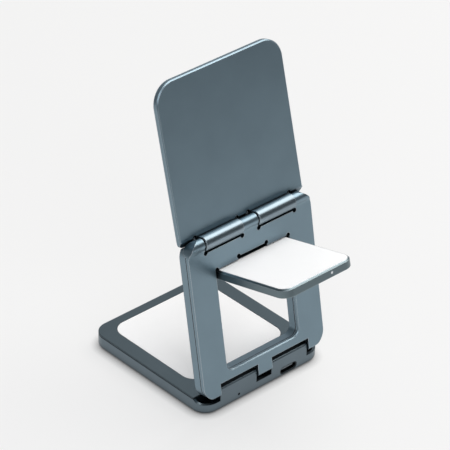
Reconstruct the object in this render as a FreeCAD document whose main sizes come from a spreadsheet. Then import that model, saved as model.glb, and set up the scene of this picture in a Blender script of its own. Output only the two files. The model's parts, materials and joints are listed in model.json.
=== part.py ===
import FreeCAD, Part
import os
import Sketcher

# Folding charging station: base, leaning window frame, phone plate and fold-out flap.
# Millimetres, +Z up, +Y towards the hinge side, origin at the middle of the base's underside.

SIZES = [
    ("plate_width", 66.0, "width of the base, the frame and the top plate"),
    ("fold_gap", 0.45, "gap between two plates that lie folded on each other"),
    ("seat_gap", 0.02, "gap between pieces that are fixed to each other"),
    ("run_gap", 0.05, "radial gap of a hinge pin that turns"),
    ("side_gap", 0.3, "gap beside a knuckle, a leg or a block"),
    ("groove_height", 0.3, "height of the dark parting groove"),
    ("groove_depth", 0.7, "depth of the dark parting groove"),
    ("edge_break", 0.35, "small rounding of the outer metal edges"),
    ("base_length", 70.0, "length of the base from front edge to rear wall"),
    ("base_height", 7.2, "height of the base's top face above the table"),
    ("base_corner", 7.0, "corner radius of the base"),
    ("base_under_edge", 1.5, "rounding of the base's lower edge"),
    ("base_wall", 1.8, "side wall of the base shell"),
    ("base_floor", 1.2, "floor of the base shell"),
    ("base_rear_depth", 8.8, "solid depth of the base shell behind its hollow"),
    ("foot_proud", 0.35, "height of the rubber foot below the shell"),
    ("foot_sunk", 0.4, "depth of the foot's recess in the shell"),
    ("foot_inset", 5.0, "distance of the foot from the base's edges"),
    ("foot_corner", 5.0, "corner radius of the foot"),
    ("cover_thickness", 0.5, "top cover of the base above its parting groove"),
    ("base_pad_width", 52.2, "width of the base's white pad"),
    ("base_pad_length", 51.2, "length of the base's white pad"),
    ("base_pad_front", 4.6, "distance of the white pad from the base's front edge"),
    ("pad_corner", 6.3, "corner radius of the white pads"),
    ("pad_gap", 0.1, "hairline round a white pad"),
    ("pad_flange", 1.2, "flange of a pad under its cover"),
    ("pad_flange_height", 0.8, "thickness of a pad's flange"),
    ("coil_thickness", 1.0, "thickness of the base's and the top plate's coil"),
    ("ferrite_thickness", 0.6, "thickness of a ferrite sheet"),
    ("base_coil_radius", 21.0, "outer radius of the base's coil"),
    ("base_coil_bore", 9.0, "inner radius of the base's coil"),
    ("ferrite_margin", 1.5, "ferrite beyond the coil's outer radius"),
    ("board_width", 48.0, "width of the circuit board"),
    ("board_length", 40.0, "length of the circuit board"),
    ("board_thickness", 1.0, "thickness of the circuit board"),
    ("boss_height", 0.5, "height of the board's bosses"),
    ("boss_radius", 2.0, "radius of the board's bosses"),
    ("boss_inset", 3.0, "distance of a boss from the board's edges"),
    ("screw_radius", 0.7, "shank radius of the board screws"),
    ("screw_head_radius", 1.3, "head radius of the board screws"),
    ("screw_head_height", 0.6, "head height of the board screws"),
    ("chip_size", 6.0, "edge of the charge controller chips"),
    ("chip_height", 0.5, "height of the chips"),
    ("port_offset", 13.75, "sideways distance of the USB-C slot and of the status light"),
    ("port_height", 3.45, "height of the USB-C slot's middle"),
    ("port_width", 9.2, "width of the USB-C slot"),
    ("port_opening", 3.4, "height of the USB-C slot"),
    ("port_corner", 1.65, "corner radius of the USB-C slot"),
    ("port_gap", 0.12, "gap between the slot and the receptacle"),
    ("port_wall", 0.3, "sheet of the receptacle shell"),
    ("port_inset", 0.15, "distance of the receptacle's mouth from the rear wall"),
    ("port_length", 7.2, "length of the receptacle"),
    ("tongue_width", 6.7, "width of the receptacle's tongue"),
    ("tongue_thickness", 0.7, "thickness of the receptacle's tongue"),
    ("tongue_setback", 1.0, "distance of the tongue's tip from the receptacle's mouth"),
    ("light_radius", 0.5, "radius of a status light pipe"),
    ("light_length", 6.0, "length of the base's light pipe"),
    ("light_inset", 1.2, "distance of the base's light pipe from the rear wall"),
    ("block_half_depth", 3.05, "half the depth of the base's hinge blocks"),
    ("block_rise", 1.7, "height of a hinge block's top above the lower hinge axis"),
    ("block_round", 1.0, "rounding of a hinge block's upper edges"),
    ("block_inner", 4.1, "inner end of a hinge block"),
    ("block_outer", 24.0, "outer end of a hinge block"),
    ("notch_gap", 0.75, "gap between a hinge block and the frame above it"),
    ("leg_drop", 1.9, "reach of the frame's legs below the lower hinge axis"),
    ("leg_round", 1.4, "rounding of the legs' lower rear edge"),
    ("leg_toe_round", 0.9, "rounding of the legs' lower front edge"),
    ("recess_gap", 0.2, "gap between the turning legs and the base"),
    ("well_wall", 1.2, "wall round the wells under the legs"),
    ("lower_pin_radius", 0.9, "radius of the lower hinge pin"),
    ("lower_pin_half", 29.0, "half length of the lower hinge pin"),
    ("frame_thickness", 5.6, "thickness of the frame"),
    ("frame_rear_offset", 4.05, "distance of the frame's rear face from the lower hinge axis"),
    ("frame_cover", 1.6, "thickness of the frame's rear cover"),
    ("frame_corner", 7.0, "corner radius of the frame"),
    ("frame_lean", 10.0, "lean of the frame in degrees"),
    ("window_width", 39.4, "width of the frame's window"),
    ("window_bottom", 7.4, "height of the window's lower edge above the lower hinge axis"),
    ("window_corner", 3.5, "radius of the window's lower corners"),
    ("window_chamfer", 0.4, "chamfer of the window's rear edge"),
    ("window_slot", 15.8, "width of the slot in the window's upper edge"),
    ("window_slot_height", 1.4, "height of the slot in the window's upper edge"),
    ("slot_floor", 1.2, "metal left in front of the slot"),
    ("lip_thickness", 0.55, "thickness of the lip in front of the flap's hinge"),
    ("lip_drop", 2.0, "reach of the lip below the window's upper edge"),
    ("relief_radius", 1.0, "radius of the milled corner reliefs in the frame"),
    ("relief_inset", 0.45, "sideways distance of a milled relief's middle from its corner"),
    ("hinge_spacing", 66.2, "distance between the lower and the upper hinge axis along the frame"),
    ("upper_axis_depth", 1.65, "depth of the upper hinge axis below the frame's rear face"),
    ("knuckle_radius", 2.6, "radius of the frame's hinge knuckles"),
    ("knuckle_blend", 2.4, "hollow rounding between a knuckle and the frame's rear face"),
    ("knuckle_inner", 4.1, "middle of the gap beside the centre knuckle"),
    ("knuckle_outer", 24.3, "middle of the gap beside an outer knuckle"),
    ("upper_pin_radius", 1.2, "radius of the upper hinge pin"),
    ("upper_pin_half", 28.5, "half length of the upper hinge pin"),
    ("barrel_radius", 3.3, "radius of the top plate's hinge barrels"),
    ("barrel_gap", 0.8, "gap between a barrel and the frame"),
    ("barrel_edge", 0.3, "chamfer of a barrel's ends and of its seat"),
    ("top_length", 68.6, "reach of the top plate above the upper hinge axis"),
    ("top_thickness", 4.1, "thickness of the top plate"),
    ("top_shell", 2.2, "thickness of the top plate's rear shell"),
    ("top_skin", 0.6, "rear skin of the top plate's shell"),
    ("top_corner", 9.5, "radius of the top plate's upper corners"),
    ("top_foot_corner", 2.0, "radius of the top plate's lower corners"),
    ("top_foot", 0.4, "distance of the top plate's lower edge from the upper hinge axis"),
    ("top_cover_foot", 1.3, "distance of the front cover's lower edge from the upper hinge axis"),
    ("top_front_bevel", 1.8, "bevel of the top plate's front edge"),
    ("top_edge", 0.45, "chamfer of the top plate's rear edge"),
    ("top_lean", 14.1, "lean of the top plate in degrees"),
    ("top_relief_radius", 1.1, "radius of the milled corner reliefs in the top plate"),
    ("top_relief_depth", 1.6, "depth of the milled corner reliefs in the top plate"),
    ("top_pad_size", 52.2, "width of the phone pad"),
    ("top_pad_rise", 11.1, "height of the phone pad's lower edge above the upper hinge axis"),
    ("top_pad_margin", 5.3, "distance of the phone pad from the top plate's upper edge"),
    ("top_pad_height", 0.7, "thickness of the phone pad inside its frame"),
    ("magnet_radius", 25.5, "outer radius of the magnet ring"),
    ("magnet_width", 4.0, "width of the magnet ring"),
    ("magnet_half_angle", 9.5, "half the angle of one magnet"),
    ("magnet_count", 16.0, "number of magnets in the ring"),
    ("magnet_well_gap", 0.3, "gap between the magnet ring and its well"),
    ("top_coil_radius", 20.5, "outer radius of the top plate's coil"),
    ("top_coil_bore", 9.0, "inner radius of the top plate's coil"),
    ("flap_axis_rise", 50.45, "height of the flap's hinge axis above the lower hinge axis"),
    ("flap_thickness", 4.0, "thickness of the flap"),
    ("flap_gap", 0.8, "gap between the flap and the window"),
    ("flap_corner", 5.0, "radius of the flap's outer corners"),
    ("flap_rim", 0.8, "rim of the flap's tray round its pad"),
    ("flap_edge", 0.5, "rounding of the flap's lower edge"),
    ("flap_chamfer", 0.7, "chamfer of the flap's upper edge"),
    ("flap_rise", 14.3, "upward slope of the open flap in degrees"),
    ("flap_pad_back", 2.0, "distance of the flap's pad from its hinge axis"),
    ("flap_pad_height", 1.0, "thickness of the flap's pad"),
    ("flap_pad_back_corner", 1.4, "radius of the flap pad's inner corners"),
    ("flap_coil_radius", 15.0, "outer radius of the flap's coil"),
    ("flap_coil_bore", 6.0, "inner radius of the flap's coil"),
    ("flap_coil_thickness", 0.9, "thickness of the flap's coil"),
    ("flap_well_gap", 0.3, "gap between the flap's coil and its well"),
    ("flap_pin_radius", 0.8, "radius of the flap's hinge pin"),
    ("flap_pin_reach", 6.0, "reach of the flap's hinge pin into the frame"),
    ("flap_light_offset", 6.2, "sideways distance of the flap's light"),
    ("flap_light_length", 3.0, "length of the flap's light pipe"),
]

doc = FreeCAD.newDocument("charging_station")
sheet = doc.addObject("Spreadsheet::Sheet", "Sizes")
for row, (alias, number, meaning) in enumerate(SIZES, start=1):
    sheet.set(f"A{row}", meaning)
    sheet.set(f"B{row}", str(number))
    sheet.setAlias(f"B{row}", alias)
doc.recompute()

# Places that follow from the sizes, as expressions
HALF = "Sizes.plate_width / 2"
REAR = "Sizes.base_length / 2"
FRONT = "-Sizes.base_length / 2"
SHELL_TOP = "(Sizes.base_height - Sizes.cover_thickness - Sizes.groove_height)"
FLOOR_TOP = "(Sizes.foot_proud + Sizes.base_floor)"
COVER_REAR = "(Sizes.base_length / 2 - 2 * Sizes.block_half_depth - Sizes.side_gap)"
AXIS_Y = "(Sizes.base_length / 2 - Sizes.block_half_depth)"
AXIS_Z = "(Sizes.base_height + Sizes.fold_gap + Sizes.frame_thickness - Sizes.frame_rear_offset)"
HEEL = "(Sizes.frame_rear_offset - Sizes.leg_round)"
HEEL_DROP = "(Sizes.leg_drop - Sizes.leg_round)"
LEG_REACH = f"(Sizes.leg_round + sqrt({HEEL} * {HEEL} + {HEEL_DROP} * {HEEL_DROP}))"
RECESS = f"({LEG_REACH} + Sizes.recess_gap)"
PAD_MID = f"({FRONT} + Sizes.base_pad_front + Sizes.base_pad_length / 2)"
PAD_LOW = f"({SHELL_TOP} - Sizes.pad_flange_height)"
BOARD_LOW = f"({FLOOR_TOP} + Sizes.boss_height)"
BOARD_TOP = f"({BOARD_LOW} + Sizes.board_thickness)"

FRAME_FRONT = "(Sizes.frame_rear_offset - Sizes.frame_thickness)"
FRAME_PART = "(Sizes.frame_rear_offset - Sizes.frame_cover)"
UPPER_P = "(Sizes.frame_rear_offset - Sizes.upper_axis_depth)"
NOTCH_TOP = "(Sizes.block_half_depth + Sizes.notch_gap)"
LEG_SIDE = "(Sizes.block_outer + Sizes.side_gap)"
MID_LEG = "(Sizes.block_inner - Sizes.side_gap)"
MID_KNUCKLE = "(Sizes.knuckle_inner - Sizes.side_gap / 2)"
OUT_KNUCKLE = "(Sizes.knuckle_outer + Sizes.side_gap / 2)"
BARREL_NOTCH = "(Sizes.barrel_radius + Sizes.barrel_gap)"
FRAME_TOP = "(Sizes.hinge_spacing - Sizes.side_gap)"
KNUCKLE_TOP = "(Sizes.hinge_spacing + Sizes.knuckle_radius)"
FLAP_P = "(Sizes.frame_rear_offset - Sizes.frame_thickness / 2)"
FLAP_BACK = "Sizes.flap_thickness / 2"
WINDOW_HALF = "Sizes.window_width / 2"
WINDOW_TOP = "(Sizes.flap_axis_rise + Sizes.flap_thickness / 2 + Sizes.flap_gap)"
FLAP_HALF = "(Sizes.window_width / 2 - Sizes.flap_gap)"
FLAP_LENGTH = "(Sizes.flap_axis_rise - Sizes.window_bottom - Sizes.flap_gap)"

TOP_TURN = "(Sizes.top_lean - Sizes.frame_lean)"
TOP_REAR = "(-Sizes.fold_gap - Sizes.upper_axis_depth)"
TOP_PART = f"({TOP_REAR} - Sizes.top_shell)"
TOP_FRONT = f"({TOP_REAR} - Sizes.top_thickness)"
TOP_PAD_SEAT = f"({TOP_FRONT} + Sizes.top_pad_height)"
TOP_INNER = f"({TOP_REAR} - Sizes.top_skin)"
SEAT_RADIUS = "(Sizes.barrel_radius + Sizes.seat_gap)"
FLANGE_ROOM = "(Sizes.pad_flange + Sizes.pad_gap)"
TOP_PAD_LENGTH = "(Sizes.top_length - Sizes.top_pad_margin - Sizes.top_pad_rise)"
TOP_PAD_MID = f"(Sizes.top_pad_rise + {TOP_PAD_LENGTH} / 2)"

XY = "XY_Plane"
XZ = "XZ_Plane"
YZ = "YZ_Plane"
TOLERANCE = 1e-4
OVERCUT = "1"
FRAME_CUT = (f"-Sizes.frame_rear_offset - {OVERCUT}", f"Sizes.frame_thickness + 2 * {OVERCUT}")


def value(text):
    """Return the number that an expression of sizes gives."""
    return float(doc.getObject("base_shell").evalExpression(text))


def new_body(name):
    body = doc.addObject("PartDesign::Body", name)
    body.Label = name
    return body


def place(body, y, z, lean):
    """Put a body's origin on a hinge axis and lean it about the X direction."""
    body.Placement = FreeCAD.Placement(FreeCAD.Vector(0, 1, 1), FreeCAD.Rotation(FreeCAD.Vector(1, 0, 0), 1))
    body.setExpression("Placement.Base.y", y)
    body.setExpression("Placement.Base.z", z)
    body.setExpression("Placement.Rotation.Angle", lean)


def place_on_frame(body, p, s, lean):
    """Place a body on an axis that the leaning frame carries, p behind and s above the lower hinge axis."""
    turn = "Sizes.frame_lean"
    place(body, f"{AXIS_Y} + {p} * cos({turn}) - {s} * sin({turn})",
          f"{AXIS_Z} + {p} * sin({turn}) + {s} * cos({turn})", lean)


def circle(x, y, radius):
    return {"x": x, "y": y, "radius": radius}


def box(left, right, low, high, radius=None):
    """A rectangle, with all its corners rounded if a radius is given."""
    return [(left, low, radius), (right, low, radius), (right, high, radius), (left, high, radius)]


def tie(sketch, kind, text, *where):
    """Add a dimension to a sketch and bind it to an expression."""
    index = sketch.addConstraint(Sketcher.Constraint(kind, *where, value(text)))
    sketch.setExpression(f"Constraints[{index}]", text)


def pin_point(sketch, geometry, point, x, y):
    tie(sketch, "DistanceX", x, -1, 1, geometry, point)
    tie(sketch, "DistanceY", y, -1, 1, geometry, point)


def step_towards(here, there, radius):
    """Move from one corner towards the next, along X or along Y, by a radius."""
    along_x = abs(value(here[1]) - value(there[1])) < TOLERANCE
    axis = 0 if along_x else 1
    sign = "+" if value(there[axis]) > value(here[axis]) else "-"
    moved = [here[0], here[1]]
    moved[axis] = f"({here[axis]}) {sign} ({radius})"
    return tuple(moved)


def draw_circle(sketch, ring):
    centre = FreeCAD.Vector(value(ring["x"]), value(ring["y"]), 0)
    index = sketch.addGeometry(Part.Circle(centre, FreeCAD.Vector(0, 0, 1), value(ring["radius"])))
    pin_point(sketch, index, 3, ring["x"], ring["y"])
    tie(sketch, "Radius", ring["radius"], index)


def draw_outline(sketch, corners):
    """Draw a closed outline of level and upright lines, with an arc at each corner that has a radius."""
    count = len(corners)
    ends = []
    for i, corner in enumerate(corners):
        before, after, radius = corners[i - 1], corners[(i + 1) % count], corner[2]
        if radius is None:
            ends.append((corner[:2], corner[:2]))
        else:
            ends.append((step_towards(corner, before, radius), step_towards(corner, after, radius)))
    points = [[FreeCAD.Vector(value(x), value(y), 0) for x, y in pair] for pair in ends]
    lines = []
    for i in range(count):
        j = (i + 1) % count
        lines.append(sketch.addGeometry(Part.LineSegment(points[i][1], points[j][0])))
        pin_point(sketch, lines[i], 1, *ends[i][1])
        pin_point(sketch, lines[i], 2, *ends[j][0])
    for i, corner in enumerate(corners):
        if corner[2] is not None:
            draw_corner(sketch, points[i], lines[i - 1], lines[i], corner)


def draw_corner(sketch, points, line_in, line_out, corner):
    """Join two lines at right angles with a quarter circle."""
    radius = value(corner[2])
    arrive, leave = points
    tip = FreeCAD.Vector(value(corner[0]), value(corner[1]), 0)
    centre = arrive + leave - tip
    left_turn = (tip - arrive).cross(leave - tip).z > 0
    first, last = (arrive, leave) if left_turn else (leave, arrive)
    ring = Part.Circle(centre, FreeCAD.Vector(0, 0, 1), radius)
    arc = sketch.addGeometry(Part.ArcOfCircle(ring, ring.parameter(first), ring.parameter(last)))
    start, finish = (1, 2) if left_turn else (2, 1)
    sketch.addConstraint(Sketcher.Constraint("Coincident", arc, start, line_in, 2))
    sketch.addConstraint(Sketcher.Constraint("Coincident", arc, finish, line_out, 1))
    tie(sketch, "Radius", corner[2], arc)


def add_feature(body, kind, plane, start, length, outlines):
    """Draw outlines on a plane of the body and grow a pad or a pocket from it, along the plane's normal."""
    sketch = body.newObject("Sketcher::SketchObject", f"{body.Name}_sketch")
    support = [item for item in body.Origin.OriginFeatures if item.Role == plane][0]
    sketch.AttachmentSupport = [(support, "")]
    sketch.MapMode = "FlatFace"
    sketch.setExpression("AttachmentOffset.Base.z", start)
    for outline in outlines:
        if isinstance(outline, dict):
            draw_circle(sketch, outline)
        else:
            draw_outline(sketch, outline)
    feature = body.newObject(f"PartDesign::{kind}", f"{body.Name}_{kind.lower()}")
    feature.Profile = sketch
    feature.Reversed = kind == "Pocket"
    feature.setExpression("Length", length)
    return feature


def pad(body, plane, start, length, *outlines):
    return add_feature(body, "Pad", plane, start, length, outlines)


def pocket(body, plane, start, length, *outlines):
    return add_feature(body, "Pocket", plane, start, length, outlines)


def lies_at(edge, axis, position):
    bounds = edge.BoundBox
    low, high = getattr(bounds, f"{axis}Min"), getattr(bounds, f"{axis}Max")
    return abs(low - position) < TOLERANCE and abs(high - position) < TOLERANCE


def dress(body, kind, size, choose):
    """Round or chamfer the edges of the body so far that a test picks."""
    doc.recompute()
    tip = body.Tip
    names = [f"Edge{i}" for i, edge in enumerate(tip.Shape.Edges, start=1) if choose(edge)]
    feature = body.newObject(f"PartDesign::{kind}", f"{body.Name}_{kind.lower()}")
    feature.Base = (tip, names)
    feature.setExpression("Radius" if kind == "Fillet" else "Size", size)
    return feature


def level(axis, text):
    """A test for edges that lie in the plane where one coordinate has a value."""
    position = value(text)
    return lambda edge: lies_at(edge, axis, position)


def rod(name, plane, start, length, x, y, radius):
    """A plain round rod along a plane's normal."""
    body = new_body(name)
    pad(body, plane, start, length, circle(x, y, radius))
    return body


def corner_trim(x, y, radius, right, up):
    """What lies outside a rounded corner; right and up are the signs of the directions that lead outside."""
    near_x, far_x = f"{x} - {right}({radius} + {OVERCUT})", f"{x} + {right}{OVERCUT}"
    near_y, far_y = f"{y} - {up}({radius} + {OVERCUT})", f"{y} + {up}{OVERCUT}"
    return [(near_x, y, None), (x, y, radius), (x, near_y, None), (far_x, near_y, None), (far_x, far_y, None),
            (near_x, far_y, None)]


def both_sides(near, far):
    """The same stretch along X on the right and on the left, as start and length."""
    length = f"{far} - {near}"
    return [(near, length), (f"-({far})", length)]


# Base
def make_base_shell():
    body = new_body("base_shell")
    wall = "Sizes.base_wall"
    pad(body, XY, "Sizes.foot_proud", f"{SHELL_TOP} - Sizes.foot_proud",
        box(f"-{HALF}", HALF, FRONT, REAR, "Sizes.base_corner"))
    dress(body, "Fillet", "Sizes.base_under_edge", level("Z", "Sizes.foot_proud"))
    for start, length in both_sides("Sizes.block_inner", "Sizes.block_outer"):
        pad(body, YZ, start, length, block_outline())
    zones = both_sides("Sizes.block_outer", f"{HALF} + {OVERCUT}")
    zones.append(("-Sizes.block_inner", "2 * Sizes.block_inner"))
    for start, length in zones:
        pocket(body, YZ, start, length, circle(AXIS_Y, AXIS_Z, RECESS))
        pocket(body, YZ, start, length,
               box(AXIS_Y, f"{REAR} + {OVERCUT}", f"{AXIS_Z} - {RECESS}", f"{AXIS_Z} + {OVERCUT}"))
    pocket(body, XY, FLOOR_TOP, "Sizes.base_height", *leg_wells())
    pocket(body, XY, FLOOR_TOP, "Sizes.base_height",
           box(f"-({HALF} - {wall})", f"{HALF} - {wall}", f"{FRONT} + {wall}",
               f"{REAR} - Sizes.base_rear_depth", f"Sizes.base_corner - {wall}"))
    pocket(body, XY, PAD_LOW, "Sizes.base_height", base_pad_outline(FLANGE_ROOM))
    pad(body, XY, FLOOR_TOP, "Sizes.boss_height",
        *[circle(x, y, "Sizes.boss_radius") for x, y in board_corners()])
    pocket(body, XY, FLOOR_TOP, "Sizes.boss_height",
           *[circle(x, y, "Sizes.screw_radius + Sizes.seat_gap") for x, y in board_corners()])
    wall_cut = (f"-{REAR} - {OVERCUT}", f"Sizes.base_rear_depth + 2 * {OVERCUT}")
    pocket(body, XZ, *wall_cut, port_outline("0"))
    pocket(body, XZ, *wall_cut,
           circle("Sizes.port_offset", "Sizes.port_height", "Sizes.light_radius + Sizes.seat_gap"))
    pocket(body, YZ, f"-{HALF}", "Sizes.plate_width",
           circle(AXIS_Y, AXIS_Z, "Sizes.lower_pin_radius + Sizes.seat_gap"))
    pocket(body, XY, "Sizes.foot_proud", "Sizes.foot_sunk", foot_outline("Sizes.seat_gap"))


def block_outline():
    """A hinge block seen from the side, with rounded upper edges."""
    front, top = f"({REAR} - 2 * Sizes.block_half_depth)", f"({AXIS_Z} + Sizes.block_rise)"
    return [(front, FLOOR_TOP, None), (REAR, FLOOR_TOP, None), (REAR, top, "Sizes.block_round"),
            (front, top, "Sizes.block_round")]


def leg_wells():
    """The wells under the frame's three legs, seen from above."""
    wall = "Sizes.well_wall"
    front, rear = f"({REAR} - Sizes.base_rear_depth + {wall})", f"({REAR} - {wall})"
    side, corner = f"({HALF} - {wall})", f"Sizes.base_corner - {wall}"
    right = [("Sizes.block_outer", front, None), (side, front, None), (side, rear, corner),
             ("Sizes.block_outer", rear, None)]
    left = [(f"-{x}", y, radius) for x, y, radius in right]
    return [right, left, box("-Sizes.block_inner", "Sizes.block_inner", front, rear)]


def board_corners():
    x = "(Sizes.board_width / 2 - Sizes.boss_inset)"
    y = "(Sizes.board_length / 2 - Sizes.boss_inset)"
    return [(f"{a}{x}", f"{PAD_MID} {b} {y}") for a in ("", "-") for b in ("+", "-")]


def port_outline(inset):
    """The USB-C slot, smaller by an inset all round."""
    half = f"(Sizes.port_width / 2 - {inset})"
    rise = f"(Sizes.port_opening / 2 - {inset})"
    return box(f"-Sizes.port_offset - {half}", f"-Sizes.port_offset + {half}", f"Sizes.port_height - {rise}",
               f"Sizes.port_height + {rise}", f"Sizes.port_corner - {inset}")


def foot_outline(grow):
    """The rubber foot, larger by a margin all round."""
    inset = f"(Sizes.foot_inset - {grow})"
    return box(f"-({HALF} - {inset})", f"{HALF} - {inset}", f"{FRONT} + {inset}", f"{REAR} - {inset}",
               f"Sizes.foot_corner + {grow}")


def middle_box(width, length, middle, corner):
    """A rounded rectangle round a middle on the sketch's upright axis."""
    half, reach = f"({width}) / 2", f"({length}) / 2"
    return box(f"-{half}", half, f"{middle} - {reach}", f"{middle} + {reach}", corner)


def base_pad_outline(grow):
    """The base's white pad, larger by a margin all round."""
    width, length = f"Sizes.base_pad_width + 2 * ({grow})", f"Sizes.base_pad_length + 2 * ({grow})"
    return middle_box(width, length, PAD_MID, f"Sizes.pad_corner + {grow}")


def cover_outline(inset):
    half = f"({HALF} - {inset})"
    corner = f"Sizes.base_corner - {inset}"
    front = f"{FRONT} + {inset}"
    return [(f"-{half}", front, corner), (half, front, corner), (half, COVER_REAR, None),
            (f"-{half}", COVER_REAR, None)]


def make_base_cover():
    body = new_body("base_cover")
    pad(body, XY, SHELL_TOP, "Sizes.groove_height", cover_outline("Sizes.groove_depth"))
    pad(body, XY, f"{SHELL_TOP} + Sizes.groove_height", "Sizes.cover_thickness", cover_outline("0"))
    top, rear = value("Sizes.base_height"), value(COVER_REAR)
    dress(body, "Fillet", "Sizes.edge_break",
          lambda edge: lies_at(edge, "Z", top) and not lies_at(edge, "Y", rear))
    pocket(body, XY, SHELL_TOP, "Sizes.base_height", base_pad_outline("Sizes.pad_gap"))


def make_base_pad():
    body = new_body("base_pad")
    pad(body, XY, PAD_LOW, "Sizes.pad_flange_height", base_pad_outline("Sizes.pad_flange"))
    pad(body, XY, SHELL_TOP, f"Sizes.base_height - {SHELL_TOP}", base_pad_outline("0"))


def make_base_inside():
    coil = new_body("base_coil")
    coil_low = f"({PAD_LOW} - Sizes.coil_thickness)"
    pad(coil, XY, coil_low, "Sizes.coil_thickness", circle("0", PAD_MID, "Sizes.base_coil_radius"),
        circle("0", PAD_MID, "Sizes.base_coil_bore"))
    rod("base_ferrite", XY, f"{coil_low} - Sizes.ferrite_thickness", "Sizes.ferrite_thickness", "0", PAD_MID,
        "Sizes.base_coil_radius + Sizes.ferrite_margin")
    board = new_body("base_board")
    pad(board, XY, BOARD_LOW, "Sizes.board_thickness",
        middle_box("Sizes.board_width", "Sizes.board_length", PAD_MID, "Sizes.boss_inset"),
        *[circle(x, y, "Sizes.screw_radius + Sizes.seat_gap") for x, y in board_corners()])
    screws = new_body("board_screws")
    pad(screws, XY, FLOOR_TOP, f"{BOARD_TOP} - {FLOOR_TOP}",
        *[circle(x, y, "Sizes.screw_radius") for x, y in board_corners()])
    pad(screws, XY, BOARD_TOP, "Sizes.screw_head_height",
        *[circle(x, y, "Sizes.screw_head_radius") for x, y in board_corners()])
    chips = new_body("board_chips")
    half = "Sizes.chip_size / 2"
    pad(chips, XY, BOARD_TOP, "Sizes.chip_height",
        *[box(f"({x}) * Sizes.chip_size - {half}", f"({x}) * Sizes.chip_size + {half}", f"{PAD_MID} - {half}",
              f"{PAD_MID} + {half}") for x in ("-2", "0", "2")])


def make_port():
    shell = new_body("usb_shell")
    mouth = f"-{REAR} + Sizes.port_inset"
    pad(shell, XZ, mouth, "Sizes.port_length", port_outline("Sizes.port_gap"))
    inner = port_outline("(Sizes.port_gap + Sizes.port_wall)")
    pocket(shell, XZ, mouth, "Sizes.port_length - Sizes.port_wall", inner)
    tongue = new_body("usb_tongue")
    half, rise = "Sizes.tongue_width / 2", "Sizes.tongue_thickness / 2"
    pad(tongue, XZ, f"{mouth} + Sizes.tongue_setback",
        "Sizes.port_length - Sizes.port_wall - Sizes.tongue_setback",
        box(f"-Sizes.port_offset - {half}", f"-Sizes.port_offset + {half}", f"Sizes.port_height - {rise}",
            f"Sizes.port_height + {rise}"))
    rod("status_light", XZ, f"-{REAR} + Sizes.light_inset", "Sizes.light_length", "Sizes.port_offset",
        "Sizes.port_height", "Sizes.light_radius")


def make_base_foot():
    body = new_body("base_foot")
    pad(body, XY, "0", "Sizes.foot_proud + Sizes.foot_sunk - Sizes.seat_gap", foot_outline("0"))
    dress(body, "Fillet", "Sizes.foot_proud / 2", level("Z", "0"))


def make_lower_pin():
    rod("lower_hinge_pin", YZ, "-Sizes.lower_pin_half", "2 * Sizes.lower_pin_half", AXIS_Y, AXIS_Z,
        "Sizes.lower_pin_radius")


# Frame, drawn upright with the lower hinge axis at its origin: Y behind, Z along the frame
def frame_outline(inset, top):
    """The frame seen from behind, with three legs round the two hinge blocks."""
    half = f"({HALF} - {inset})"
    leg_low = f"-(Sizes.leg_drop - {inset})"
    corner = f"Sizes.frame_corner - {inset}"
    out, mid = f"({LEG_SIDE} + {inset})", f"({MID_LEG} - {inset})"
    notch = f"({NOTCH_TOP} + {inset})"
    right = [(mid, leg_low, None), (mid, notch, None), (out, notch, None), (out, leg_low, None),
             (half, leg_low, corner), (half, top, None)]
    left = [(f"-{x}", y, radius) for x, y, radius in reversed(right)]
    return right + left


def window_outline(grow="0"):
    half, low = f"({WINDOW_HALF} + {grow})", f"(Sizes.window_bottom - {grow})"
    corner = f"Sizes.window_corner + {grow}"
    return [(f"-{half}", low, corner), (half, low, corner),
            (half, WINDOW_TOP, None), (f"-{half}", WINDOW_TOP, None)]


def window_slot():
    half = "Sizes.window_slot / 2"
    return box(f"-{half}", half, f"{WINDOW_TOP} - {OVERCUT}", f"{WINDOW_TOP} + Sizes.window_slot_height")


def relief_pair(x, height):
    """Two round corner reliefs, one on each side."""
    return [circle(f"{sign}({x} - Sizes.relief_inset)", height, "Sizes.relief_radius") for sign in ("", "-")]


def window_reliefs():
    return relief_pair(WINDOW_HALF, WINDOW_TOP)


def slot_reliefs():
    return relief_pair("Sizes.window_slot / 2", f"{WINDOW_TOP} + Sizes.window_slot_height")


def cut_barrel_notches(body):
    for start, length in both_sides(MID_KNUCKLE, OUT_KNUCKLE):
        pocket(body, YZ, start, length, circle(UPPER_P, "Sizes.hinge_spacing", BARREL_NOTCH))


def trim_frame_corners(body):
    """Round the frame's upper corners, knuckles included."""
    start = f"-({UPPER_P} + Sizes.knuckle_radius + {OVERCUT})"
    corners = [(HALF, "1"), (f"-{HALF}", "-1")]
    pocket(body, XZ, start, f"2 * Sizes.frame_thickness + {OVERCUT}",
           *[corner_trim(x, KNUCKLE_TOP, "Sizes.frame_corner", f"{side} * ", "1 * ") for x, side in corners])


def knuckle_zones():
    return both_sides(OUT_KNUCKLE, HALF) + [(f"-{MID_KNUCKLE}", f"2 * {MID_KNUCKLE}")]


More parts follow.
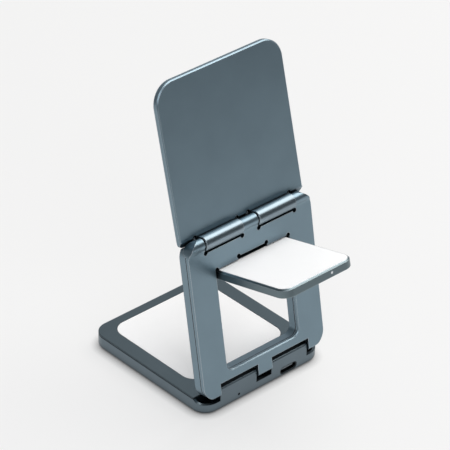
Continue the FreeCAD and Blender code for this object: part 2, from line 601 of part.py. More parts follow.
def make_frame_rear_cover():
    body = new_body("frame_rear_cover")
    pad(body, XZ, "-Sizes.frame_rear_offset", "Sizes.frame_cover", frame_outline("0", "Sizes.hinge_spacing"),
        window_outline())
    rear, sill, side = value("Sizes.frame_rear_offset"), value("Sizes.window_bottom"), value(WINDOW_HALF)
    head = value(WINDOW_TOP)
    dress(body, "Chamfer", "Sizes.window_chamfer",
          lambda edge: lies_at(edge, "Y", rear) and abs(edge.CenterOfMass.x) < side + TOLERANCE
          and sill - TOLERANCE < edge.CenterOfMass.z < head - TOLERANCE)
    cut_barrel_notches(body)
    for start, length in knuckle_zones():
        pad(body, YZ, start, length, circle(UPPER_P, "Sizes.hinge_spacing", "Sizes.knuckle_radius"))
    trim_frame_corners(body)
    pocket(body, XZ, *FRAME_CUT, window_slot())
    pocket(body, XZ, *FRAME_CUT, *slot_reliefs())
    drop = f"sqrt({BARREL_NOTCH} * {BARREL_NOTCH} - Sizes.upper_axis_depth * Sizes.upper_axis_depth)"
    spots = [f"({MID_KNUCKLE} + Sizes.relief_inset)", f"({OUT_KNUCKLE} - Sizes.relief_inset)"]
    pocket(body, XZ, *FRAME_CUT, *window_reliefs(),
           *[circle(f"{sign}{x}", f"Sizes.hinge_spacing - {drop}", "Sizes.relief_radius")
             for x in spots for sign in ("", "-")])
    pocket(body, YZ, "-Sizes.upper_pin_half", "2 * Sizes.upper_pin_half",
           circle(UPPER_P, "Sizes.hinge_spacing", "Sizes.upper_pin_radius + Sizes.seat_gap"))
    crease = value("Sizes.hinge_spacing - sqrt(Sizes.knuckle_radius * Sizes.knuckle_radius"
                   " - Sizes.upper_axis_depth * Sizes.upper_axis_depth)")
    dress(body, "Fillet", "Sizes.knuckle_blend",
          lambda edge: lies_at(edge, "Y", rear) and lies_at(edge, "Z", crease))
    pocket(body, YZ, f"-{HALF}", "Sizes.plate_width",
           corner_trim("Sizes.frame_rear_offset", "-Sizes.leg_drop", "Sizes.leg_round", "1 * ", "-1 * "))
    place(body, AXIS_Y, AXIS_Z, "Sizes.frame_lean")


def make_frame_front_shell():
    body = new_body("frame_front_shell")
    layer = "Sizes.groove_height"
    pad(body, XZ, f"-({FRAME_PART} - {layer})", f"Sizes.frame_thickness - Sizes.frame_cover - {layer}",
        frame_outline("0", FRAME_TOP), window_outline())
    pad(body, XZ, f"-{FRAME_PART}", layer, frame_outline("Sizes.groove_depth", FRAME_TOP),
        window_outline("Sizes.groove_depth"))
    lip_low, lip_high = f"{WINDOW_TOP} - Sizes.lip_drop", f"{WINDOW_TOP} + Sizes.slot_floor"
    pad(body, XZ, f"-({FRAME_FRONT} + Sizes.lip_thickness)", "Sizes.lip_thickness",
        box(f"-{WINDOW_HALF}", WINDOW_HALF, lip_low, lip_high))
    cut_barrel_notches(body)
    for start, length in knuckle_zones():
        pocket(body, YZ, start, length,
               circle(UPPER_P, "Sizes.hinge_spacing", "Sizes.knuckle_radius + Sizes.seat_gap"))
    trim_frame_corners(body)
    slot_depth = "Sizes.frame_thickness - Sizes.frame_cover - Sizes.slot_floor"
    pocket(body, XZ, f"-{FRAME_PART}", slot_depth, window_slot())
    pocket(body, XZ, f"-{FRAME_PART}", slot_depth, *slot_reliefs())
    pocket(body, XZ, *FRAME_CUT, *window_reliefs())
    pocket(body, YZ, "-Sizes.lower_pin_half - Sizes.run_gap", "2 * (Sizes.lower_pin_half + Sizes.run_gap)",
           circle("0", "0", "Sizes.lower_pin_radius + Sizes.run_gap"))
    reach = f"({WINDOW_HALF} + Sizes.flap_pin_reach + Sizes.run_gap)"
    pocket(body, YZ, f"-{reach}", f"2 * {reach}",
           circle(FLAP_P, "Sizes.flap_axis_rise", "Sizes.flap_pin_radius + Sizes.run_gap"))
    pocket(body, YZ, f"-{HALF}", "Sizes.plate_width",
           corner_trim(FRAME_FRONT, "-Sizes.leg_drop", "Sizes.leg_toe_round", "-1 * ", "-1 * "))
    place(body, AXIS_Y, AXIS_Z, "Sizes.frame_lean")


def make_upper_pin():
    body = rod("upper_hinge_pin", YZ, "-Sizes.upper_pin_half", "2 * Sizes.upper_pin_half", UPPER_P,
               "Sizes.hinge_spacing", "Sizes.upper_pin_radius")
    place(body, AXIS_Y, AXIS_Z, "Sizes.frame_lean")


# Top plate, drawn upright with the upper hinge axis at its origin
def top_outline(low):
    foot, corner = "Sizes.top_foot_corner", "Sizes.top_corner"
    return [(f"-{HALF}", low, foot), (HALF, low, foot),
            (HALF, "Sizes.top_length", corner), (f"-{HALF}", "Sizes.top_length", corner)]


def top_pad_outline(grow):
    width, length = f"Sizes.top_pad_size + 2 * ({grow})", f"{TOP_PAD_LENGTH} + 2 * ({grow})"
    return middle_box(width, length, TOP_PAD_MID, f"Sizes.pad_corner + {grow}")


def place_top(body):
    place_on_frame(body, UPPER_P, "Sizes.hinge_spacing", "Sizes.top_lean")


def make_top_rear_shell():
    body = new_body("top_rear_shell")
    pad(body, XZ, f"-{TOP_REAR}", "Sizes.top_shell", top_outline("Sizes.top_foot"))
    pocket(body, XZ, f"-{TOP_INNER}", "Sizes.top_thickness",
           circle("0", TOP_PAD_MID, "Sizes.magnet_radius + Sizes.magnet_well_gap"))
    pocket(body, YZ, f"-{HALF}", "Sizes.plate_width", circle("0", "0", SEAT_RADIUS))
    rise = f"sqrt({SEAT_RADIUS} * {SEAT_RADIUS} - {TOP_REAR} * {TOP_REAR})"
    radius = "Sizes.top_relief_radius"
    spots = [f"(Sizes.knuckle_inner - {radius})", f"(Sizes.knuckle_outer + {radius})"]
    pocket(body, XZ, f"-{TOP_REAR} - {OVERCUT}", f"Sizes.top_relief_depth + {OVERCUT}",
           *[circle(f"{sign}{x}", rise, radius) for x in spots for sign in ("", "-")])
    rear, crease, upper = value(TOP_REAR), value(rise), value(f"{rise} + {radius}")
    dress(body, "Chamfer", "Sizes.barrel_edge",
          lambda edge: lies_at(edge, "Y", rear) and lies_at(edge, "Z", crease))
    dress(body, "Chamfer", "Sizes.top_edge",
          lambda edge: lies_at(edge, "Y", rear) and edge.CenterOfMass.z > upper)
    place_top(body)


def make_barrels():
    near, far = "(Sizes.knuckle_inner + Sizes.side_gap / 2)", "(Sizes.knuckle_outer - Sizes.side_gap / 2)"
    for name, (start, length) in zip(("top_barrel_left", "top_barrel_right"), both_sides(near, far)):
        body = new_body(name)
        pad(body, YZ, start, length, circle("0", "0", "Sizes.barrel_radius"),
            circle("0", "0", "Sizes.upper_pin_radius + Sizes.run_gap"))
        radius = value("Sizes.barrel_radius")
        dress(body, "Chamfer", "Sizes.barrel_edge",
              lambda edge: abs(edge.BoundBox.ZMax - radius) < TOLERANCE and edge.BoundBox.XLength < TOLERANCE)
        place_top(body)


def make_top_front_cover():
    body = new_body("top_front_cover")
    thickness = "Sizes.top_thickness - Sizes.top_shell"
    pad(body, XZ, f"-{TOP_PART}", thickness, top_outline("Sizes.top_cover_foot"))
    pocket(body, XZ, f"-{TOP_PART}", f"{TOP_PART} - {TOP_PAD_SEAT}", top_pad_outline(FLANGE_ROOM))
    pocket(body, XZ, f"-{TOP_PART}", "Sizes.top_thickness", top_pad_outline("Sizes.pad_gap"))
    front = value(TOP_FRONT)
    reach = value("Sizes.top_pad_size / 2 + Sizes.pad_gap") + TOLERANCE
    low = value("Sizes.top_pad_rise - Sizes.pad_gap") - TOLERANCE
    high = value("Sizes.top_length - Sizes.top_pad_margin + Sizes.pad_gap") + TOLERANCE

    def outer(edge):
        middle = edge.CenterOfMass
        return abs(middle.x) > reach or not low < middle.z < high

    dress(body, "Chamfer", "Sizes.top_front_bevel", lambda edge: lies_at(edge, "Y", front) and outer(edge))
    place_top(body)


def make_top_inside():
    face = new_body("top_pad")
    pad(face, XZ, f"-{TOP_PART}", f"{TOP_PART} - {TOP_PAD_SEAT}", top_pad_outline("Sizes.pad_flange"))
    pad(face, XZ, f"-{TOP_PAD_SEAT}", "Sizes.top_pad_height", top_pad_outline("0"))
    place_top(face)
    back = f"({TOP_PART} + Sizes.coil_thickness)"
    coil = new_body("top_coil")
    pad(coil, XZ, f"-{back}", "Sizes.coil_thickness",
        circle("0", TOP_PAD_MID, "Sizes.top_coil_radius"),
        circle("0", TOP_PAD_MID, "Sizes.top_coil_bore"))
    place_top(coil)
    sheet_back = f"-({back} + Sizes.ferrite_thickness)"
    ferrite = rod("top_ferrite", XZ, sheet_back, "Sizes.ferrite_thickness", "0", TOP_PAD_MID,
                  "Sizes.magnet_radius")
    place_top(ferrite)
    make_magnets(f"-{back}")


def make_magnets(start):
    """A ring of equal magnets round the coil, one drawn and the rest turned about the pad's middle."""
    body = new_body("top_magnets")
    inner = "(Sizes.magnet_radius - Sizes.magnet_width)"
    wide = f"{inner} * tan(Sizes.magnet_half_angle)"
    low = f"{inner}"
    high = f"sqrt(Sizes.magnet_radius * Sizes.magnet_radius - ({wide}) * ({wide}))"
    pad(body, XZ, start, "Sizes.coil_thickness", box(f"-{wide}", wide, low, high))
    doc.recompute()
    ring = body.newObject("PartDesign::PolarPattern", "top_magnets_ring")
    ring.Originals = [body.Tip]
    ring.Axis = ([item for item in body.Origin.OriginFeatures if item.Role == "Y_Axis"][0], [""])
    ring.Angle = 360
    ring.setExpression("Occurrences", "Sizes.magnet_count")
    body.Tip = ring
    shift, rise = f"-{TOP_PAD_MID} * sin({TOP_TURN})", f"{TOP_PAD_MID} * cos({TOP_TURN})"
    place_on_frame(body, f"({UPPER_P} + {shift})", f"(Sizes.hinge_spacing + {rise})", "Sizes.top_lean")


# Flap, drawn level with its hinge axis at its origin: Y outwards, Z up
def place_flap(body):
    place_on_frame(body, FLAP_P, "Sizes.flap_axis_rise", "Sizes.flap_rise")


def flap_pad_outline(grow):
    half = f"({FLAP_HALF} - Sizes.flap_rim + {grow})"
    back = f"Sizes.flap_pad_back - {grow}"
    front = f"{FLAP_LENGTH} - Sizes.flap_rim + {grow}"
    inner, outer = f"Sizes.flap_pad_back_corner + {grow}", f"Sizes.flap_corner - Sizes.flap_rim + {grow}"
    return [(f"-{half}", back, inner), (half, back, inner), (half, front, outer), (f"-{half}", front, outer)]


FLAP_MID = f"({FLAP_LENGTH} / 2)"
FLAP_SEAT = f"({FLAP_BACK} - Sizes.flap_pad_height)"
FLAP_WELL = f"({FLAP_SEAT} - Sizes.flap_coil_thickness - Sizes.ferrite_thickness)"


def make_flap_tray():
    body = new_body("flap_tray")
    corner = "Sizes.flap_corner"
    pad(body, XY, f"-{FLAP_BACK}", "Sizes.flap_thickness",
        [(f"-{FLAP_HALF}", "0", None), (FLAP_HALF, "0", None), (FLAP_HALF, FLAP_LENGTH, corner),
         (f"-{FLAP_HALF}", FLAP_LENGTH, corner)])
    under = value(f"-{FLAP_BACK}")
    dress(body, "Fillet", "Sizes.flap_edge",
          lambda edge: lies_at(edge, "Z", under) and edge.BoundBox.YMax > TOLERANCE)
    upper = value(FLAP_BACK)
    dress(body, "Chamfer", "Sizes.flap_chamfer",
          lambda edge: lies_at(edge, "Z", upper) and edge.BoundBox.YMax > TOLERANCE)
    pad(body, YZ, f"-{FLAP_HALF}", f"2 * {FLAP_HALF}", circle("0", "0", FLAP_BACK))
    pocket(body, XY, FLAP_SEAT, "Sizes.flap_thickness", flap_pad_outline("Sizes.pad_gap"))
    pocket(body, XY, FLAP_WELL, "Sizes.flap_thickness",
           circle("0", FLAP_MID, "Sizes.flap_coil_radius + Sizes.flap_well_gap"))
    pocket(body, YZ, f"-{FLAP_HALF}", f"2 * {FLAP_HALF}",
           circle("0", "0", "Sizes.flap_pin_radius + Sizes.seat_gap"))
    pocket(body, XZ, f"-{FLAP_LENGTH} - {OVERCUT}", f"Sizes.flap_light_length + {OVERCUT}",
           circle("-Sizes.flap_light_offset", "0", "Sizes.light_radius + Sizes.seat_gap"))
    place_flap(body)


def make_flap_inside():
    face = new_body("flap_pad")
    pad(face, XY, FLAP_SEAT, "Sizes.flap_pad_height", flap_pad_outline("0"))
    coil = new_body("flap_coil")
    pad(coil, XY, f"{FLAP_SEAT} - Sizes.flap_coil_thickness", "Sizes.flap_coil_thickness",
        circle("0", FLAP_MID, "Sizes.flap_coil_radius"), circle("0", FLAP_MID, "Sizes.flap_coil_bore"))
    ferrite = rod("flap_ferrite", XY, FLAP_WELL, "Sizes.ferrite_thickness", "0", FLAP_MID,
                  "Sizes.flap_coil_radius")
    light = rod("flap_light", XZ, f"-{FLAP_LENGTH} + Sizes.seat_gap",
                "Sizes.flap_light_length - Sizes.seat_gap", "-Sizes.flap_light_offset", "0",
                "Sizes.light_radius")
    reach = f"({WINDOW_HALF} + Sizes.flap_pin_reach)"
    pin = rod("flap_hinge_pin", YZ, f"-{reach}", f"2 * {reach}", "0", "0", "Sizes.flap_pin_radius")
    for body in (face, coil, ferrite, light, pin):
        place_flap(body)


def check(objects):
    """Stop if any object failed or any sub-part's shape is empty or broken."""
    failed = [item.Name for item in objects if "Invalid" in item.State or "Error" in item.State]
    bodies = [item for item in objects if item.TypeId == "PartDesign::Body"]
    failed += [body.Label for body in bodies if body.Shape.isNull() or not body.Shape.isValid()]
    if failed:
        raise RuntimeError("failed: " + ", ".join(failed))
    return bodies


make_base_shell()
make_base_cover()
make_base_pad()
make_base_inside()
make_port()
make_base_foot()
make_lower_pin()
make_frame_rear_cover()
make_frame_front_shell()
make_upper_pin()
make_top_rear_shell()
make_barrels()
make_top_front_cover()
make_top_inside()
make_flap_tray()
make_flap_inside()
doc.recompute()

os.makedirs("parts", exist_ok=True)
for sub_part in check(doc.Objects):
    sub_part.Shape.exportStep(f"parts/{sub_part.Label}.step")
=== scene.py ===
import bmesh
import bpy
import json
import math
from collections import namedtuple
from mathutils import Matrix, Vector


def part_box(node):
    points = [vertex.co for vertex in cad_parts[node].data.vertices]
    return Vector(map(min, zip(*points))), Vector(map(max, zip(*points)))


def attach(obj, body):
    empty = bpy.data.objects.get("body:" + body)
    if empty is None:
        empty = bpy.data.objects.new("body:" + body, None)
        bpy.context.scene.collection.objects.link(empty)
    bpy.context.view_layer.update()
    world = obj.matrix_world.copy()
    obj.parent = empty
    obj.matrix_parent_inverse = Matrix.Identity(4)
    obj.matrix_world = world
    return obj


# Looks of the folding charging station, in metres and in the frame of its solids, with +Z up

MM = 0.001
MICRON = 1.0e-6

# Camera: image and focal length in pixels, sensor in millimetres, angles in degrees
IMAGE_SIZE = 450
SENSOR = 36.0
CAMERA_AZIMUTH = 137.170
CAMERA_ELEVATION = 33.129
CAMERA_ROLL = 1.014
CAMERA_DISTANCE = 1164.7 * MM
CAMERA_TARGET = Vector((0.944, 11.024, 68.0)) * MM
CAMERA_FOCAL_PIXELS = 2903.3

# Grain of a surface: patches of colour and bumps to the metre, height of the bumps, spread of the roughness
Grain = namedtuple("Grain", "patches bumps height spread")
ANODISED_GRAIN = Grain(patches=60.0, bumps=9000.0, height=2.0 * MICRON, spread=0.03)
METAL_GRAIN = Grain(patches=400.0, bumps=12000.0, height=1.0 * MICRON, spread=0.04)
PLASTIC_GRAIN = Grain(patches=80.0, bumps=6000.0, height=1.5 * MICRON, spread=0.04)
PATCH_DETAIL = 3.0
BUMP_DETAIL = 2.0
NOISE_SPAN = (0.3, 0.7)

# Softened edges, cut edges by the cosine of their turn, and creases by how open they are, which sets the
# painted shade in them
EDGE_RADIUS = 0.16 * MM
CUT_EDGE = 0.35 * MM
CUT_TURN = (0.995, 0.9)
BEVEL_SAMPLES = 6
# Painted shade in creases: its reach, the openness it spans, how dark it gets, and how fast it clears pale
# edges
CREASE_SHADE_REACH = 4.5 * MM
CREASE_SHADE_OPENNESS = (0.9, 0.15)
PAINTED_CREASE_SHADE = 0.2
CREVICE_POWER = 3.0
OPENNESS_SAMPLES = 8

# Anodised aluminium in linear colours; the base's darker copies paint shade, pale cut edges are bare metal
# lightened to paint a highlight, dark ones paint the shade of seams, and some pale ones also show in
# creases
METAL_COLOUR = (0.195, 0.268, 0.315)
# Pale cut edges: bare metal, lightened to paint the highlight along them
BARE_EDGE_AND_HIGHLIGHT = (0.48, 0.535, 0.57)
# Dark cut edges of the frame and base: painted shade of the seams and grooves beside them
FRAME_SEAM_SHADE = (0.05, 0.066, 0.076)
BASE_SEAM_SHADE = (0.03, 0.037, 0.042)
METAL_ROUGHNESS = 0.36
ANODISED_DRIFT = 0.04
ANODISED = {
    "anodised_metal": {"colour": METAL_COLOUR, "edge": BARE_EDGE_AND_HIGHLIGHT},
    "anodised_plate": {"colour": METAL_COLOUR, "edge": BARE_EDGE_AND_HIGHLIGHT, "crease_edges": True},
    "anodised_frame": {"colour": METAL_COLOUR, "edge": FRAME_SEAM_SHADE},
    # Base cover and shell: darker copies of the metal colour that paint the shade on the base's top and
    # sides
    "shade_painted_cover": {"colour": (0.128, 0.167, 0.189), "edge": BASE_SEAM_SHADE},
    "shade_painted_shell": {"colour": (0.14, 0.178, 0.203), "edge": BASE_SEAM_SHADE},
    "anodised_tray": {"colour": (0.158, 0.203, 0.22), "edge": BARE_EDGE_AND_HIGHLIGHT},
    "turned_barrel": {"colour": (0.222, 0.28, 0.318), "edge": BARE_EDGE_AND_HIGHLIGHT, "roughness": 0.3,
                      "crease_edges": True},
}

# Plain metals in linear colours
PLAIN_DRIFT = 0.05
PLAIN_METALS = {
    "copper": {"colour": (0.55, 0.24, 0.11), "roughness": 0.3},
    "steel": {"colour": (0.5, 0.51, 0.53), "roughness": 0.25},
    "dark_steel": {"colour": (0.045, 0.055, 0.062), "roughness": 0.35},
    "magnet": {"colour": (0.5, 0.49, 0.46), "roughness": 0.3},
}

# Plastic, rubber and ceramic in linear colours, with how far each colour drifts and any other gloss
PLASTIC_GLOSS = 0.5
PLASTICS = {
    "white_pad": {"colour": (0.945, 0.945, 0.95), "roughness": 0.4, "drift": 0.012},
    "ferrite": {"colour": (0.012, 0.012, 0.013), "roughness": 0.7, "drift": 0.1},
    "board": {"colour": (0.01, 0.06, 0.03), "roughness": 0.45, "drift": 0.1},
    "chip": {"colour": (0.008, 0.008, 0.009), "roughness": 0.5, "drift": 0.1},
    "light": {"colour": (0.75, 0.78, 0.8), "roughness": 0.3, "drift": 0.012},
    "foot_rubber": {"colour": (0.012, 0.013, 0.014), "roughness": 0.75, "drift": 0.1},
    "port_plastic": {"colour": (0.19, 0.22, 0.24), "roughness": 0.45, "drift": 0.05},
    "smoked_light": {"colour": (0.003, 0.003, 0.004), "roughness": 0.7, "drift": 0.1, "gloss": 0.05},
}

# Finish of a material slot where its name differs, and of the nodes that differ from their slot
SLOT_FINISH = {"metal": "anodised_metal"}
NODE_FINISH = {
    "base_cover": "shade_painted_cover",
    "base_shell": "shade_painted_shell",
    "frame_front_shell": "anodised_frame",
    "top_rear_shell": "anodised_plate",
    "top_barrel_left": "turned_barrel",
    "top_barrel_right": "turned_barrel",
    "flap_tray": "anodised_tray",
    "status_light": "smoked_light",
    "usb_shell": "dark_steel",
    "usb_tongue": "port_plastic",
}

# Smoked tip of the base's light pipe
LENS_SET = 0.05 * MM
LENS_DOME = 0.15 * MM
LENS_RINGS = 4
LENS_SIDES = 24

# Floor, with the share of its level that it shows by itself and the reach of the painted shade at the
# contact
FLOOR_SIZE = 1.15
FLOOR_COLOUR = (0.84, 0.84, 0.84)
FLOOR_ROUGHNESS = 0.9
FLOOR_GLOW = 0.7
FLOOR_LEVEL = (0.887, 0.887, 0.887)
CONTACT_SHADE_REACH = 4.0 * MM

# Surroundings: how far they turn towards the backdrop, and their level from straight down to straight up
WORLD_TINT = (0.96, 1.0, 1.04)
BACKDROP_DIRECTION = (-0.6, -0.8, 0.0)
BACKDROP_SPREAD = ((0.55, 0.0), (0.85, 1.0))
BACKDROP_STEPS = ((0.0, 0.4), (0.48, 0.6), (0.56, 0.75), (0.63, 0.65), (0.7, 0.4), (0.8, 0.3), (1.0, 0.6))
DARK_STEPS = ((0.0, 0.4), (0.4, 0.25), (0.46, 0.17), (0.52, 0.16),
              (0.6, 0.14), (0.8, 0.12), (0.9, 0.3), (1.0, 0.6))

# Soft boxes, seen from the camera's target
KEY_LIGHT = {"direction": Vector((-0.5, 0.03, 0.86)), "distance": 1.4, "size": (1.25, 1.6),
             "radiance": 3.2, "colour": (1.035, 1.0, 0.96)}
FILL_LIGHT = {"direction": Vector((0.45, 0.68, 0.6)), "distance": 1.5, "size": (1.2, 1.0),
              "radiance": 2.2, "colour": (0.98, 1.0, 1.03)}

# Sockets of a colour mix node, the place of a ramp's step before it is set, and the span of a cosine
MIX_FACTOR, MIX_FIRST, MIX_SECOND, MIX_RESULT = 0, 6, 7, 2
NEW_STEP = 0.5
COSINE_SPAN = (-1.0, 1.0)


def rgba(colour):
    return (*colour, 1.0)


def shaded(colour, shade):
    return tuple(min(1.0, c * shade) for c in colour)


def add_object(name, data):
    """A new object in the scene."""
    thing = bpy.data.objects.new(name, data)
    bpy.context.scene.collection.objects.link(thing)
    return thing


def node_tools(tree):
    """Two functions: one adds a node with its inputs set or linked, the other links two sockets."""

    def add(kind, inputs=None, **settings):
        node = tree.nodes.new(kind)
        for key, setting in settings.items():
            setattr(node, key, setting)
        for key, source in (inputs or {}).items():
            if isinstance(source, bpy.types.NodeSocket):
                tree.links.new(source, node.inputs[key])
            else:
                node.inputs[key].default_value = source
        return node

    def link(source, target):
        tree.links.new(source, target)

    return add, link


def make_material(name):
    """A new material with its shader, and the functions that add nodes to it and link them."""
    material = bpy.data.materials.new(name)
    material.use_nodes = True
    shader = material.node_tree.nodes["Principled BSDF"]
    add, link = node_tools(material.node_tree)
    return material, shader, add, link


def combined(add, operation, first, second):
    """Two numbers worked into one."""
    return add("ShaderNodeMath", {0: first, 1: second}, operation=operation).outputs[0]


def mapped(add, source, span, levels=(0.0, 1.0)):
    """A number that goes from the first level to the second as the source crosses the span."""
    inputs = {"Value": source, "From Min": span[0], "From Max": span[1],
              "To Min": levels[0], "To Max": levels[1]}
    return add("ShaderNodeMapRange", inputs).outputs["Result"]


def mixed_colour(add, factor, first, second):
    """The first colour turning into the second as the factor goes from 0 to 1."""
    inputs = {MIX_FACTOR: factor, MIX_FIRST: first, MIX_SECOND: second}
    return add("ShaderNodeMix", inputs, data_type="RGBA").outputs[MIX_RESULT]


def drifting_colour(add, place, colour, drift, patches):
    """A colour that drifts a little from patch to patch."""
    noise = add("ShaderNodeTexNoise", {"Vector": place, "Scale": patches, "Detail": PATCH_DETAIL})
    ramp = add("ShaderNodeValToRGB", {"Fac": noise.outputs["Fac"]})
    low, high = ramp.color_ramp.elements
    low.color = rgba(shaded(colour, 1 - drift))
    high.color = rgba(shaded(colour, 1 + drift))
    low.position, high.position = NOISE_SPAN
    return ramp.outputs["Color"]


def softened_normal(add, radius):
    """The surface's direction, with its edges rounded."""
    return add("ShaderNodeBevel", {"Radius": radius}, samples=BEVEL_SAMPLES).outputs["Normal"]


def add_grain(add, link, shader, place, grain, roughness):
    """Fine bumps on gently rounded edges, and a roughness that drifts with them."""
    noise = add("ShaderNodeTexNoise", {"Vector": place, "Scale": grain.bumps, "Detail": BUMP_DETAIL})
    bump = add("ShaderNodeBump", {"Height": noise.outputs["Fac"], "Strength": 1.0, "Distance": grain.height,
                                  "Normal": softened_normal(add, EDGE_RADIUS)})
    link(bump.outputs["Normal"], shader.inputs["Normal"])
    levels = (roughness - grain.spread, roughness + grain.spread)
    link(mapped(add, noise.outputs["Fac"], NOISE_SPAN, levels), shader.inputs["Roughness"])


def grained_material(name, colour, drift, grain, roughness):
    """A material with grain, and its drifting colour that is still to be linked."""
    material, shader, add, link = make_material(name)
    place = add("ShaderNodeTexCoord").outputs["Object"]
    body = drifting_colour(add, place, colour, drift, grain.patches)
    add_grain(add, link, shader, place, grain, roughness)
    return material, shader, add, link, body


def painted_edge_mask(add):
    """1 along cut edges, 0 on open faces; it places the painted edge highlights and seam shade."""
    face = add("ShaderNodeNewGeometry").outputs["Normal"]
    rounded = softened_normal(add, CUT_EDGE)
    turn = add("ShaderNodeVectorMath", {0: face, 1: rounded}, operation="DOT_PRODUCT")
    return mapped(add, turn.outputs["Value"], CUT_TURN)


def openness(add, reach):
    """1 in the open, towards 0 where surfaces within reach close a point in; it places painted shade."""
    return add("ShaderNodeAmbientOcclusion", {"Distance": reach}, samples=OPENNESS_SAMPLES).outputs["AO"]


def anodised_metal(name, colour, edge, roughness=METAL_ROUGHNESS, crease_edges=False):
    """Blasted and anodised aluminium with painted shade in creases, and cut edges in another colour: pale
    to paint a highlight on bare metal for some materials, dark to paint a seam's shade for others.
    """
    material, shader, add, link, body = grained_material(name, colour, ANODISED_DRIFT, ANODISED_GRAIN,
                                                         roughness)
    # Painted shade in creases, darkest where the surroundings close in
    crease_shade_mask = mapped(add, openness(add, CREASE_SHADE_REACH), CREASE_SHADE_OPENNESS)
    crease_shaded = mixed_colour(add, crease_shade_mask, body, rgba(shaded(colour, PAINTED_CREASE_SHADE)))
    # Painted edge tone along cut edges, a pale highlight or a dark seam shade by material, kept out of
    # creases unless crease_edges is set
    share = painted_edge_mask(add)
    if not crease_edges:
        clear = combined(add, "SUBTRACT", 1.0, combined(add, "POWER", crease_shade_mask, CREVICE_POWER))
        share = combined(add, "MULTIPLY", share, clear)
    link(mixed_colour(add, share, crease_shaded, rgba(edge)), shader.inputs["Base Color"])
    shader.inputs["Metallic"].default_value = 1.0
    return material


def plain_metal(name, colour, roughness):
    """Bare metal of the inner pieces and the port."""
    material, shader, _, link, body = grained_material(name, colour, PLAIN_DRIFT, METAL_GRAIN, roughness)
    link(body, shader.inputs["Base Color"])
    shader.inputs["Metallic"].default_value = 1.0
    return material


def satin_plastic(name, colour, roughness, drift, gloss=PLASTIC_GLOSS):
    """Plastic, rubber or ceramic with a fine grain."""
    material, shader, _, link, body = grained_material(name, colour, drift, PLASTIC_GRAIN, roughness)
    link(body, shader.inputs["Base Color"])
    shader.inputs["Specular IOR Level"].default_value = gloss
    return material


def make_finishes():
    """Every finish by its name."""
    finishes = {name: anodised_metal(name, **row) for name, row in ANODISED.items()}
    finishes.update({name: plain_metal(name, **row) for name, row in PLAIN_METALS.items()})
    finishes.update({name: satin_plastic(name, **row) for name, row in PLASTICS.items()})
    return finishes


def dress_nodes(frame, finishes):
    """Give each node its own finish, or else that of its material slot."""
    slots = {row["node"]: row["material_slot"] for row in frame["record"]["subparts"]}
    for name, node in frame["nodes"].items():
        slot = slots[name]
        finish = NODE_FINISH.get(name, SLOT_FINISH.get(slot, slot))
        node.data.materials.clear()
        node.data.materials.append(finishes[finish])


def lens_profile(radius, back, front):
    """Radius and depth of the lens's rings, from its flat back to the top of its dome."""
    turns = [math.pi / 2 * step / LENS_RINGS for step in range(1, LENS_RINGS)]
    dome = [(radius * math.cos(turn), front - LENS_DOME * (1 - math.sin(turn))) for turn in turns]
    return [(radius, back), (radius, front - LENS_DOME), *dome]


def turned_mesh(name, profile, centre_x, centre_z):
    """A closed smooth mesh through rings of the profile's radius and depth, round a line along Y."""
    form = bmesh.new()
    angles = [2 * math.pi * i / LENS_SIDES for i in range(LENS_SIDES)]
    rings = []
    for radius, depth in profile:
        points = [(centre_x + radius * math.cos(a), depth, centre_z + radius * math.sin(a)) for a in angles]
        rings.append([form.verts.new(point) for point in points])
    for inner, outer in zip(rings, rings[1:]):
        for i in range(LENS_SIDES):
            j = (i + 1) % LENS_SIDES
            form.faces.new((inner[i], outer[i], outer[j], inner[j]))
    form.faces.new(rings[0])
    form.faces.new(rings[-1])
    bmesh.ops.recalc_face_normals(form, faces=form.faces)
    mesh = bpy.data.meshes.new(name)
    form.to_mesh(mesh)
    form.free()
    mesh.shade_smooth()
    return mesh


def make_status_lens(finish):
    """Smoked tip of the base's light pipe: a short rod with a domed end just inside the rear wall."""
    low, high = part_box("status_light")
    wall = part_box("base_shell")[1][1]
    profile = lens_profile((high[0] - low[0]) / 2, high[1], wall - LENS_SET)
    mesh = turned_mesh("status_lens", profile, (low[0] + high[0]) / 2, (low[2] + high[2]) / 2)
    mesh.materials.append(finish)
    lens = add_object("status_lens", mesh)
    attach(lens, "base")


def floor_finish():
    """Matt floor that keeps shadows and shows part of its level by itself, with painted contact shade
    dimming that part under the object's rim.
    """
    material, shader, add, link = make_material("floor")
    shader.inputs["Base Color"].default_value = rgba(FLOOR_COLOUR)
    shader.inputs["Roughness"].default_value = FLOOR_ROUGHNESS
    shader.inputs["Specular IOR Level"].default_value = 0.0
    rays = add("ShaderNodeLightPath").outputs
    seen = combined(add, "ADD", rays["Is Camera Ray"], rays["Is Glossy Ray"])
    shown = combined(add, "ADD", seen, rays["Is Transmission Ray"])
    share = combined(add, "MULTIPLY", shown, FLOOR_GLOW)
    # The floor's own glow fades where the object closes it in: painted contact shade
    glow = add("ShaderNodeEmission", {"Color": rgba(FLOOR_LEVEL), "Strength": openness(add, CONTACT_SHADE_REACH)})
    mixed = add("ShaderNodeMixShader", {0: share, 1: shader.outputs[0], 2: glow.outputs[0]})
    link(mixed.outputs[0], material.node_tree.nodes["Material Output"].inputs["Surface"])
    return material


def make_floor():
    """The pale floor that the object stands on."""
    half = FLOOR_SIZE / 2
    corners = [(-half, -half, 0), (half, -half, 0), (half, half, 0), (-half, half, 0)]
    mesh = bpy.data.meshes.new("floor")
    mesh.from_pydata(corners, [], [(0, 1, 2, 3)])
    mesh.materials.append(floor_finish())
    add_object("floor", mesh)


def make_light(name, direction, distance, size, radiance, colour):
    """A soft box that faces the object."""
    data = bpy.data.lights.new(name, "AREA")
    data.color = colour
    data.shape = "RECTANGLE"
    data.size, data.size_y = size
    data.energy = radiance * math.pi * size[0] * size[1]
    lamp = add_object(name, data)
    towards = direction.normalized()
    lamp.location = CAMERA_TARGET + towards * distance
    lamp.rotation_euler = towards.to_track_quat("Z", "Y").to_euler()


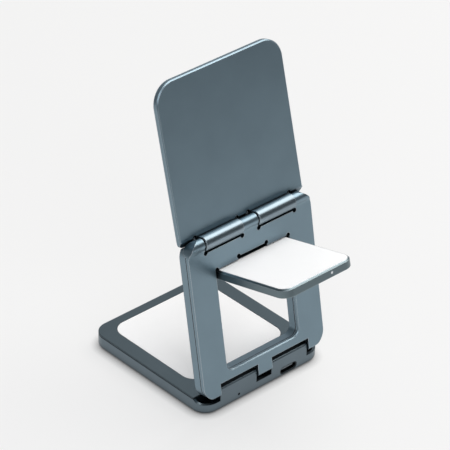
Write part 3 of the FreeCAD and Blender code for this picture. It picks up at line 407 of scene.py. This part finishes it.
def stepped_level(add, source, steps):
    """A level of the surroundings that follows the steps as the source goes from 0 to 1."""
    ramp = add("ShaderNodeValToRGB", {"Fac": source})
    elements = ramp.color_ramp.elements
    while len(elements) < len(steps):
        elements.new(NEW_STEP)
    for element, (position, level) in zip(elements, steps):
        element.position = position
        element.color = rgba(shaded(WORLD_TINT, level))
    return ramp.outputs["Color"]


def make_world():
    """Studio surroundings: a bright backdrop low on one side, dark elsewhere, paler overhead."""
    world = bpy.data.worlds.new("studio")
    bpy.context.scene.world = world
    world.use_nodes = True
    add, link = node_tools(world.node_tree)
    place = add("ShaderNodeTexCoord").outputs["Generated"]
    rise = add("ShaderNodeSeparateXYZ", {"Vector": place}).outputs["Z"]
    facing = add("ShaderNodeVectorMath", {0: place, 1: BACKDROP_DIRECTION}, operation="DOT_PRODUCT")
    height = mapped(add, rise, COSINE_SPAN)
    nearness = mapped(add, facing.outputs["Value"], COSINE_SPAN)
    spread = stepped_level(add, nearness, BACKDROP_SPREAD)
    dark = stepped_level(add, height, DARK_STEPS)
    bright = stepped_level(add, height, BACKDROP_STEPS)
    link(mixed_colour(add, spread, dark, bright), world.node_tree.nodes["Background"].inputs["Color"])


def make_camera():
    """The camera at the photograph's viewing angle."""
    data = bpy.data.cameras.new("camera")
    data.sensor_width = SENSOR
    data.lens = CAMERA_FOCAL_PIXELS * SENSOR / IMAGE_SIZE
    azimuth = math.radians(CAMERA_AZIMUTH)
    elevation = math.radians(CAMERA_ELEVATION)
    right = Vector((math.cos(azimuth), math.sin(azimuth), 0))
    back = Vector((math.sin(azimuth) * math.cos(elevation), -math.cos(azimuth) * math.cos(elevation),
                   math.sin(elevation)))
    up = back.cross(right)
    axes = Matrix((right, up, back)).transposed() @ Matrix.Rotation(math.radians(CAMERA_ROLL), 3, "Z")
    camera = add_object("camera", data)
    camera.matrix_world = Matrix.Translation(CAMERA_TARGET + back * CAMERA_DISTANCE) @ axes.to_4x4()
    bpy.context.scene.camera = camera


with open("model.json") as file:
    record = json.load(file)
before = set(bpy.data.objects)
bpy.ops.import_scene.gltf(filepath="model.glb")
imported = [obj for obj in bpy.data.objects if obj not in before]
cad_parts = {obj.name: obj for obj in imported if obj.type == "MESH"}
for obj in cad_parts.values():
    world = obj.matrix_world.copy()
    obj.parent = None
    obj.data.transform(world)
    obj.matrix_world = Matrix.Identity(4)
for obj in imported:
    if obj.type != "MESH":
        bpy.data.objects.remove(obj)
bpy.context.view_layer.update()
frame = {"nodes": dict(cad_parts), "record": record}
bpy.context.scene.view_settings.view_transform = "Standard"
finishes = make_finishes()
dress_nodes(frame, finishes)
make_status_lens(finishes["smoked_light"])
make_floor()
make_world()
make_light("key", **KEY_LIGHT)
make_light("fill", **FILL_LIGHT)
make_camera()
